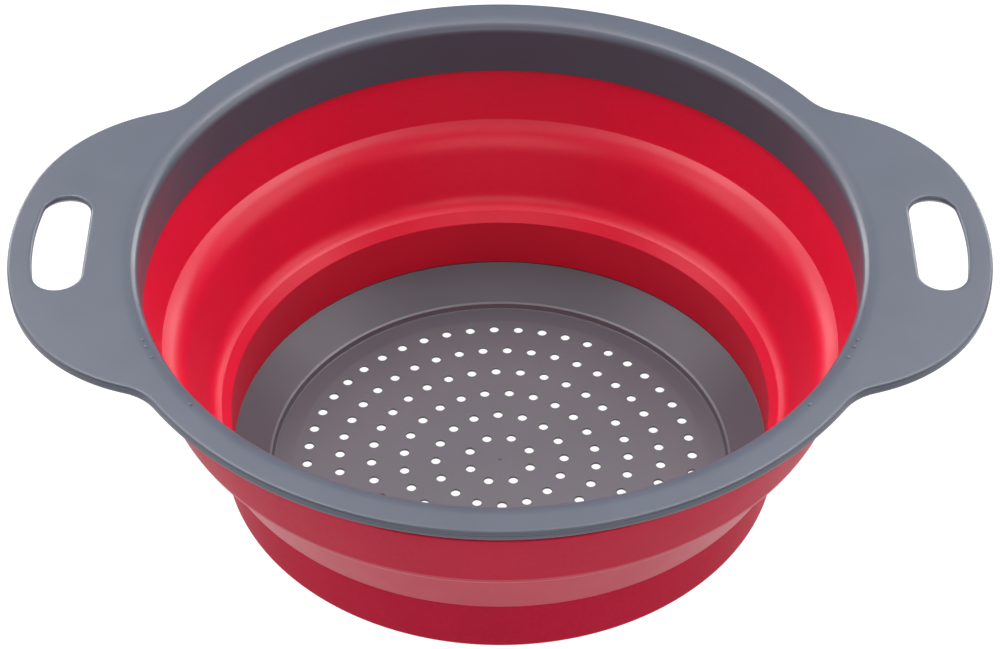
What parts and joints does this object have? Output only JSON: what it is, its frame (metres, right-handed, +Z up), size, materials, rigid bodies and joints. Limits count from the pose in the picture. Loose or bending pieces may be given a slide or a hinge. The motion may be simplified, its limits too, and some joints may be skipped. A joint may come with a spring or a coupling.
{
  "type": "collapsible colander",
  "caption": "Round collapsible colander: a rim frame with slotted ears, a soft wall whose middle band folds and a perforated base on a foot ring.",
  "frame": {"origin": "on the bowl's axis, in the plane of the foot ring's underside", "axes": "+Z up along the bowl's axis, +X and -X along the two ears, +Y level across the bowl"},
  "size_m": [0.2988, 0.244, 0.0982],
  "materials": {
    "rim_plastic": "fine satin blue-grey polypropylene",
    "wall_elastomer": "smooth satin red elastomer",
    "base_plastic": "fine satin grey polypropylene"
  },
  "bodies": {
    "base": {"base_strainer": "base_plastic", "lower_band": "wall_elastomer", "fold_web": "wall_elastomer"},
    "rim": {"rim_frame": "rim_plastic", "upper_band": "wall_elastomer"}
  },
  "joints": [
    {"name": "collapse", "type": "slide", "parent": "base", "child": "rim", "axis": [0, 0, -1], "range_m": [0, 0.05], "deforming": ["fold_web"]}
  ]
}
